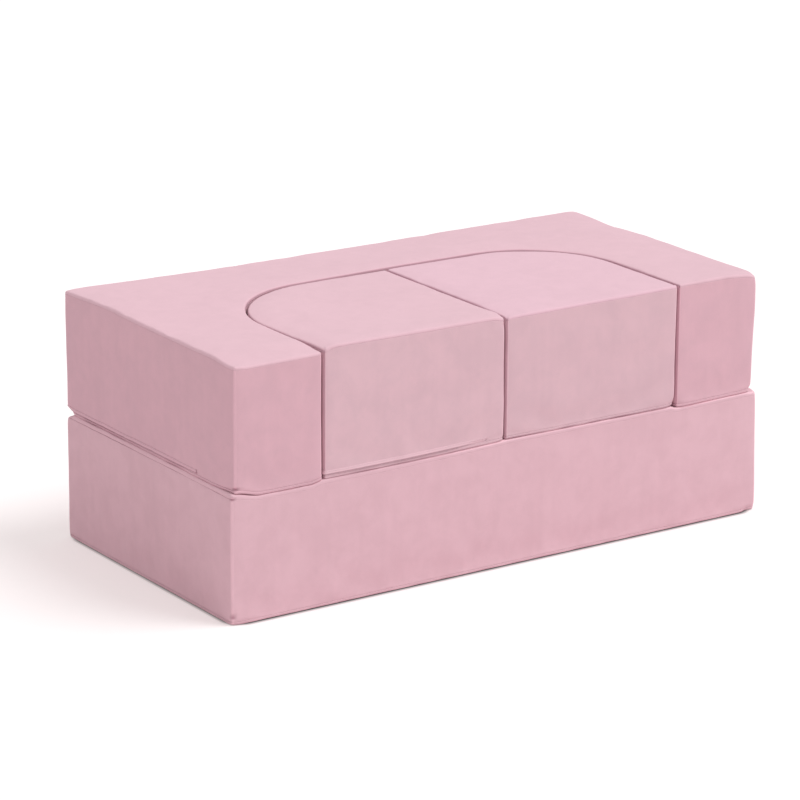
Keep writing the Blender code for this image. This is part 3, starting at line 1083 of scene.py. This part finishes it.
def suede(name, colour, mottle, brushed, painted_light_along_x=0.0):
    """Microsuede, with wear and painted highlights on its edges and painted shade in its seams, gaps and
    contact lines.

    mottle is the blotches' contrast, brushed is the colour they turn towards, and the last argument is
    painted light: how much lighter the cloth gets per metre along X.
    """
    made, tree, shader, place = material(name)
    blotches, patches, streaks, fibres = [
        noise(tree, place, **look) for look in (BLOTCHES, PATCHES, STREAKS, FIBRES)]
    nap = math_node(tree, "MULTIPLY_ADD", blotches, 0.5, math_node(tree, "MULTIPLY", patches, 0.5))
    turned = node(tree, "ShaderNodeMapRange", Value=nap, From_Min=NAP_LOW, From_Max=NAP_HIGH)
    turned = turned.outputs["Result"]
    tone = math_node(tree, "MULTIPLY_ADD", turned, -mottle, 1.0 + mottle / 2)
    tone = math_node(tree, "MULTIPLY_ADD", streaks, STREAK_CONTRAST, tone)
    tone = math_node(tree, "MULTIPLY_ADD", fibres, FIBRE_CONTRAST, tone)
    tone = math_node(tree, "SUBTRACT", tone, (STREAK_CONTRAST + FIBRE_CONTRAST) / 2)
    # Wear and painted highlight on the edges, and painted shade in seams, gaps and contact lines.
    edge = node(tree, "ShaderNodeAttribute", attribute_name="edge").outputs["Fac"]
    seam = node(tree, "ShaderNodeAttribute", attribute_name="seam").outputs["Fac"]
    tone = math_node(tree, "MULTIPLY_ADD", math_node(tree, "MULTIPLY", edge, patches), EDGE_WEAR_AND_HIGHLIGHT, tone)
    # Painted light, lighter towards +X.
    along = node(tree, "ShaderNodeSeparateXYZ", Vector=place).outputs["X"]
    tone = math_node(tree, "MULTIPLY_ADD", along, painted_light_along_x, tone)
    cloth = toned(tree, mixed(tree, turned, (*colour, 1), (*brushed, 1)), tone)
    # The cloth under full painted shade.
    in_seam = vector_node(tree, "MULTIPLY", cloth, PAINTED_SHADE_TINT)
    fill(tree, shader, Base_Color=mixed(tree, seam, cloth, in_seam),
         Normal=bumped(tree, fibres, FIBRE_BUMP, FIBRE_DEPTH), **SUEDE_SURFACE)
    return made


GRAIN_DETAIL = 4.0
GRAIN_FINENESS = 0.6
GRAIN_ROUGHNESS = 0.2
GRAIN_BUMP = 0.5


def textured(name, colour, roughness, scale, contrast, depth, metallic=0.0):
    """A material with one grain: noise in its tone, its roughness and its surface."""
    made, tree, shader, place = material(name)
    grain = noise(tree, place, scale, GRAIN_DETAIL, GRAIN_FINENESS)
    tone = math_node(tree, "MULTIPLY_ADD", grain, contrast, 1.0 - contrast / 2)
    rough = math_node(tree, "MULTIPLY_ADD", grain, GRAIN_ROUGHNESS, roughness - GRAIN_ROUGHNESS / 2)
    fill(tree, shader, Metallic=metallic, Base_Color=toned(tree, colour, tone), Roughness=rough,
         Normal=bumped(tree, grain, GRAIN_BUMP, depth))
    return made


# A wave texture of this scale has bands one metre apart.
WAVE_SCALE = 0.314
# A woven surface's tone in its hollows and how much lighter its threads are.
WEAVE_DARK = 0.72
WEAVE_CONTRAST = 0.35
WEAVE_ROUGHNESS = 0.7
WEAVE_BUMP = 0.6


def woven(name, colour, thread, depth):
    """Zip tape or coil: two crossed wave textures, thread apart."""
    made, tree, shader, place = material(name)
    waves = [node(tree, "ShaderNodeTexWave", wave_type="BANDS", bands_direction=direction, Vector=place,
                  Scale=WAVE_SCALE / thread).outputs["Fac"] for direction in ("X", "Z")]
    weave = math_node(tree, "MAXIMUM", *waves)
    tone = math_node(tree, "MULTIPLY_ADD", weave, WEAVE_CONTRAST, WEAVE_DARK)
    fill(tree, shader, Roughness=WEAVE_ROUGHNESS, Base_Color=toned(tree, colour, tone),
         Normal=bumped(tree, weave, WEAVE_BUMP, depth))
    return made


PINK = (0.80, 0.543, 0.608)
RIGHT_PINK = (0.815, 0.552, 0.63)
BASE_PINK = (0.80, 0.536, 0.596)
BRUSHED_BASE = (0.799, 0.53, 0.59)
ARCH_PINK = (0.767, 0.49, 0.553)
BRUSHED_ARCH = (0.762, 0.492, 0.556)
CORNER_PINK = (0.775, 0.537, 0.589)
BRUSHED_CORNER = (0.767, 0.537, 0.591)

TOP_MOTTLE = 0.03
TOP_SUEDE = suede("suede_top", PINK, TOP_MOTTLE, PINK)
TOPS = {
    "base": suede("suede_base_top", BASE_PINK, TOP_MOTTLE, BASE_PINK),
    "arch": TOP_SUEDE,
    "left_corner": TOP_SUEDE,
    "right_corner": suede("suede_right_top", RIGHT_PINK, TOP_MOTTLE, RIGHT_PINK),
}
# The slab's and the arch's sides get painted light that grows along X.
SIDES = {
    "base": suede("suede_base", BASE_PINK, 0.048, BRUSHED_BASE, painted_light_along_x=0.037),
    "arch": suede("suede_arch", ARCH_PINK, 0.045, BRUSHED_ARCH, painted_light_along_x=0.04),
    "left_corner": suede("suede_left_corner", CORNER_PINK, 0.05, BRUSHED_CORNER),
    "right_corner": suede("suede_right_corner", CORNER_PINK, 0.04, BRUSHED_CORNER),
}
THREAD = textured("thread", (0.82, 0.56, 0.62), roughness=0.6, scale=4000.0, contrast=0.3,
                  depth=0.2 * MM)
FOAM = textured("foam", (0.86, 0.80, 0.62), roughness=0.95, scale=900.0, contrast=0.35,
                depth=0.8 * MM)
TAPE = woven("zip_tape", (0.72, 0.44, 0.52), thread=0.5 * MM, depth=0.2 * MM)
COIL = woven("zip_coil", (0.76, 0.50, 0.57), thread=1.3 * MM, depth=0.4 * MM)
METAL = textured("zip_slider_metal", (0.62, 0.60, 0.58), roughness=0.32, scale=2500.0, contrast=0.2,
                 depth=0.05 * MM, metallic=1.0)

covers = {}
for block, corners in OUTLINES.items():
    if block == "base":
        covers[block] = Cover(corners, BASE_BOTTOM, BASE_TOP, BASE_SEAM_BELOW_TOP)
    else:
        covers[block] = Cover(corners, UPPER_BOTTOM, UPPER_TOP, SEAM_BELOW_TOP)
swell(covers)

for block, cover in covers.items():
    finish_cover(cover, block)
    run, flap_columns = zip_columns(cover, block)
    open_window(cover, run)
    for panel, replaced, look in (("top", "top_panel", TOPS[block]), ("band", "side_band", SIDES[block]),
                                  ("bottom", "bottom_panel", SIDES[block])):
        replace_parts(add_panel(cover, block, panel, look), f"{block}_{replaced}")
    add_flap(cover, block, flap_columns, SIDES[block])
    add_stitches(cover, block, flap_columns, THREAD)
    add_foam(cover, block, run, FOAM)
    for part, look in (("zip_tape_lower", TAPE), ("zip_tape_upper", TAPE), ("zip_coil_lower", COIL),
                       ("zip_coil_upper", COIL), ("zip_slider", METAL)):
        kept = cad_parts[f"{block}_{part}"]
        kept.data.materials.clear()
        kept.data.materials.append(look)


# Studio.


def mix_by_camera(tree, for_light, for_camera, output):
    """Shows one shader to the camera and the other to every other ray."""
    rays = node(tree, "ShaderNodeLightPath")
    mix = node(tree, "ShaderNodeMixShader", Fac=rays.outputs["Is Camera Ray"])
    tree.links.new(for_light, mix.inputs[1])
    tree.links.new(for_camera, mix.inputs[2])
    tree.links.new(mix.outputs[0], output)


FLOOR_BOUNCE = (0.84, 0.76, 0.77, 1)
FLOOR_GREY = (0.72, 0.72, 0.72)
FLOOR_GLOW = (1.0, 0.91, 0.89, 1)
FLOOR_GLOW_STRENGTH = 0.375
FLOOR_SIZE = 80
FLOOR_SINK = 0.5 * MM
# A painted contact shadow under the slab: how round its corners are, and where it starts and stops fading.
CONTACT_CORNER = 30 * MM
CONTACT_START = CONTACT_CORNER - 2 * MM
CONTACT_END = CONTACT_CORNER + 9 * MM


def open_floor(tree):
    """1 on the open floor, falling to nearly 0 in a thin line of painted contact shadow where the slab
    stands on it.
    """
    longer = Vector((BASE_RIGHT_GROWTH, 0, 0))
    centre = (base_low + base_high + longer) / 2
    half = (base_high - base_low + longer) / 2 - Vector((CONTACT_CORNER, CONTACT_CORNER, 0))
    place = node(tree, "ShaderNodeNewGeometry").outputs["Position"]
    offset = vector_node(tree, "ABSOLUTE", vector_node(tree, "SUBTRACT", place, (centre.x, centre.y, 0)))
    beyond = vector_node(tree, "MAXIMUM", vector_node(tree, "SUBTRACT", offset, (half.x, half.y, 1)))
    far = vector_node(tree, "LENGTH", beyond)
    opening = node(tree, "ShaderNodeMapRange", Value=far, From_Min=CONTACT_START, From_Max=CONTACT_END)
    return opening.outputs["Result"]


def add_floor():
    bpy.ops.mesh.primitive_plane_add(size=FLOOR_SIZE, location=(0, 0, -FLOOR_SINK))
    floor = bpy.context.object
    floor.name = "studio_floor"
    made, tree, shader, _ = material("studio_floor")
    opening = open_floor(tree)
    # The painted contact shadow darkens the floor's colour and its glow.
    fill(tree, shader, Base_Color=toned(tree, FLOOR_GREY, opening), Roughness=1.0,
         Specular_IOR_Level=0.0, Emission_Color=FLOOR_GLOW,
         Emission_Strength=math_node(tree, "MULTIPLY", opening, FLOOR_GLOW_STRENGTH))
    bounce = node(tree, "ShaderNodeBsdfDiffuse", Color=FLOOR_BOUNCE)
    surface = tree.nodes["Material Output"].inputs["Surface"]
    mix_by_camera(tree, bounce.outputs[0], shader.outputs[0], surface)
    floor.data.materials.append(made)


KEY_TOWARDS = Vector((0.40, -0.33, 0.85))
KEY_STRENGTH = 1.45
KEY_SPREAD = math.radians(30)


def add_key():
    lamp = link("key", bpy.data.lights.new("key", "SUN"))
    lamp.data.energy = KEY_STRENGTH
    lamp.data.angle = KEY_SPREAD
    lamp.rotation_mode = "QUATERNION"
    lamp.rotation_quaternion = KEY_TOWARDS.to_track_quat("Z", "Y")


SKY_COLOUR = (1.0, 0.965, 0.97, 1)
SKY_LEVEL = 0.642
SEEN_SKY_LEVEL = 1.1


def add_world():
    """Soft light from all round, and plain white to the camera."""
    world = bpy.data.worlds.new("studio")
    bpy.context.scene.world = world
    world.use_nodes = True
    tree = world.node_tree
    light = tree.nodes["Background"]
    fill(tree, light, Color=SKY_COLOUR, Strength=SKY_LEVEL)
    seen = node(tree, "ShaderNodeBackground", Color=(1, 1, 1, 1), Strength=SEEN_SKY_LEVEL)
    mix_by_camera(tree, light.outputs[0], seen.outputs[0], tree.nodes["World Output"].inputs["Surface"])


CAMERA_TARGET = Vector((0.0, -0.05, 0.18))
CAMERA_AZIMUTH = math.radians(-34.267)
CAMERA_ELEVATION = math.radians(16.969)
CAMERA_ROLL = math.radians(0.373)
CAMERA_DISTANCE = 6.1555
CAMERA_RIGHT = 0.05161
CAMERA_UP = -0.04101
CAMERA_LENS = 172.23
SENSOR = 36.0
CLIP_END = 200


def add_camera():
    flat = math.cos(CAMERA_ELEVATION)
    back = Vector((math.sin(CAMERA_AZIMUTH) * flat, -math.cos(CAMERA_AZIMUTH) * flat,
                   math.sin(CAMERA_ELEVATION)))
    right = (-back).cross(Vector((0, 0, 1))).normalized()
    up = right.cross(-back)
    turned_right = right * math.cos(CAMERA_ROLL) + up * math.sin(CAMERA_ROLL)
    turned_up = up * math.cos(CAMERA_ROLL) - right * math.sin(CAMERA_ROLL)
    camera = link("camera", bpy.data.cameras.new("camera"))
    camera.data.sensor_width = SENSOR
    camera.data.lens = CAMERA_LENS
    camera.data.clip_end = CLIP_END
    camera.location = (CAMERA_TARGET + back * CAMERA_DISTANCE - turned_right * CAMERA_RIGHT
                       - turned_up * CAMERA_UP)
    camera.rotation_mode = "QUATERNION"
    camera.rotation_quaternion = Matrix((turned_right, turned_up, back)).transposed().to_quaternion()
    bpy.context.scene.camera = camera


add_floor()
add_world()
add_key()
add_camera()
bpy.context.scene.view_settings.view_transform = "Standard"
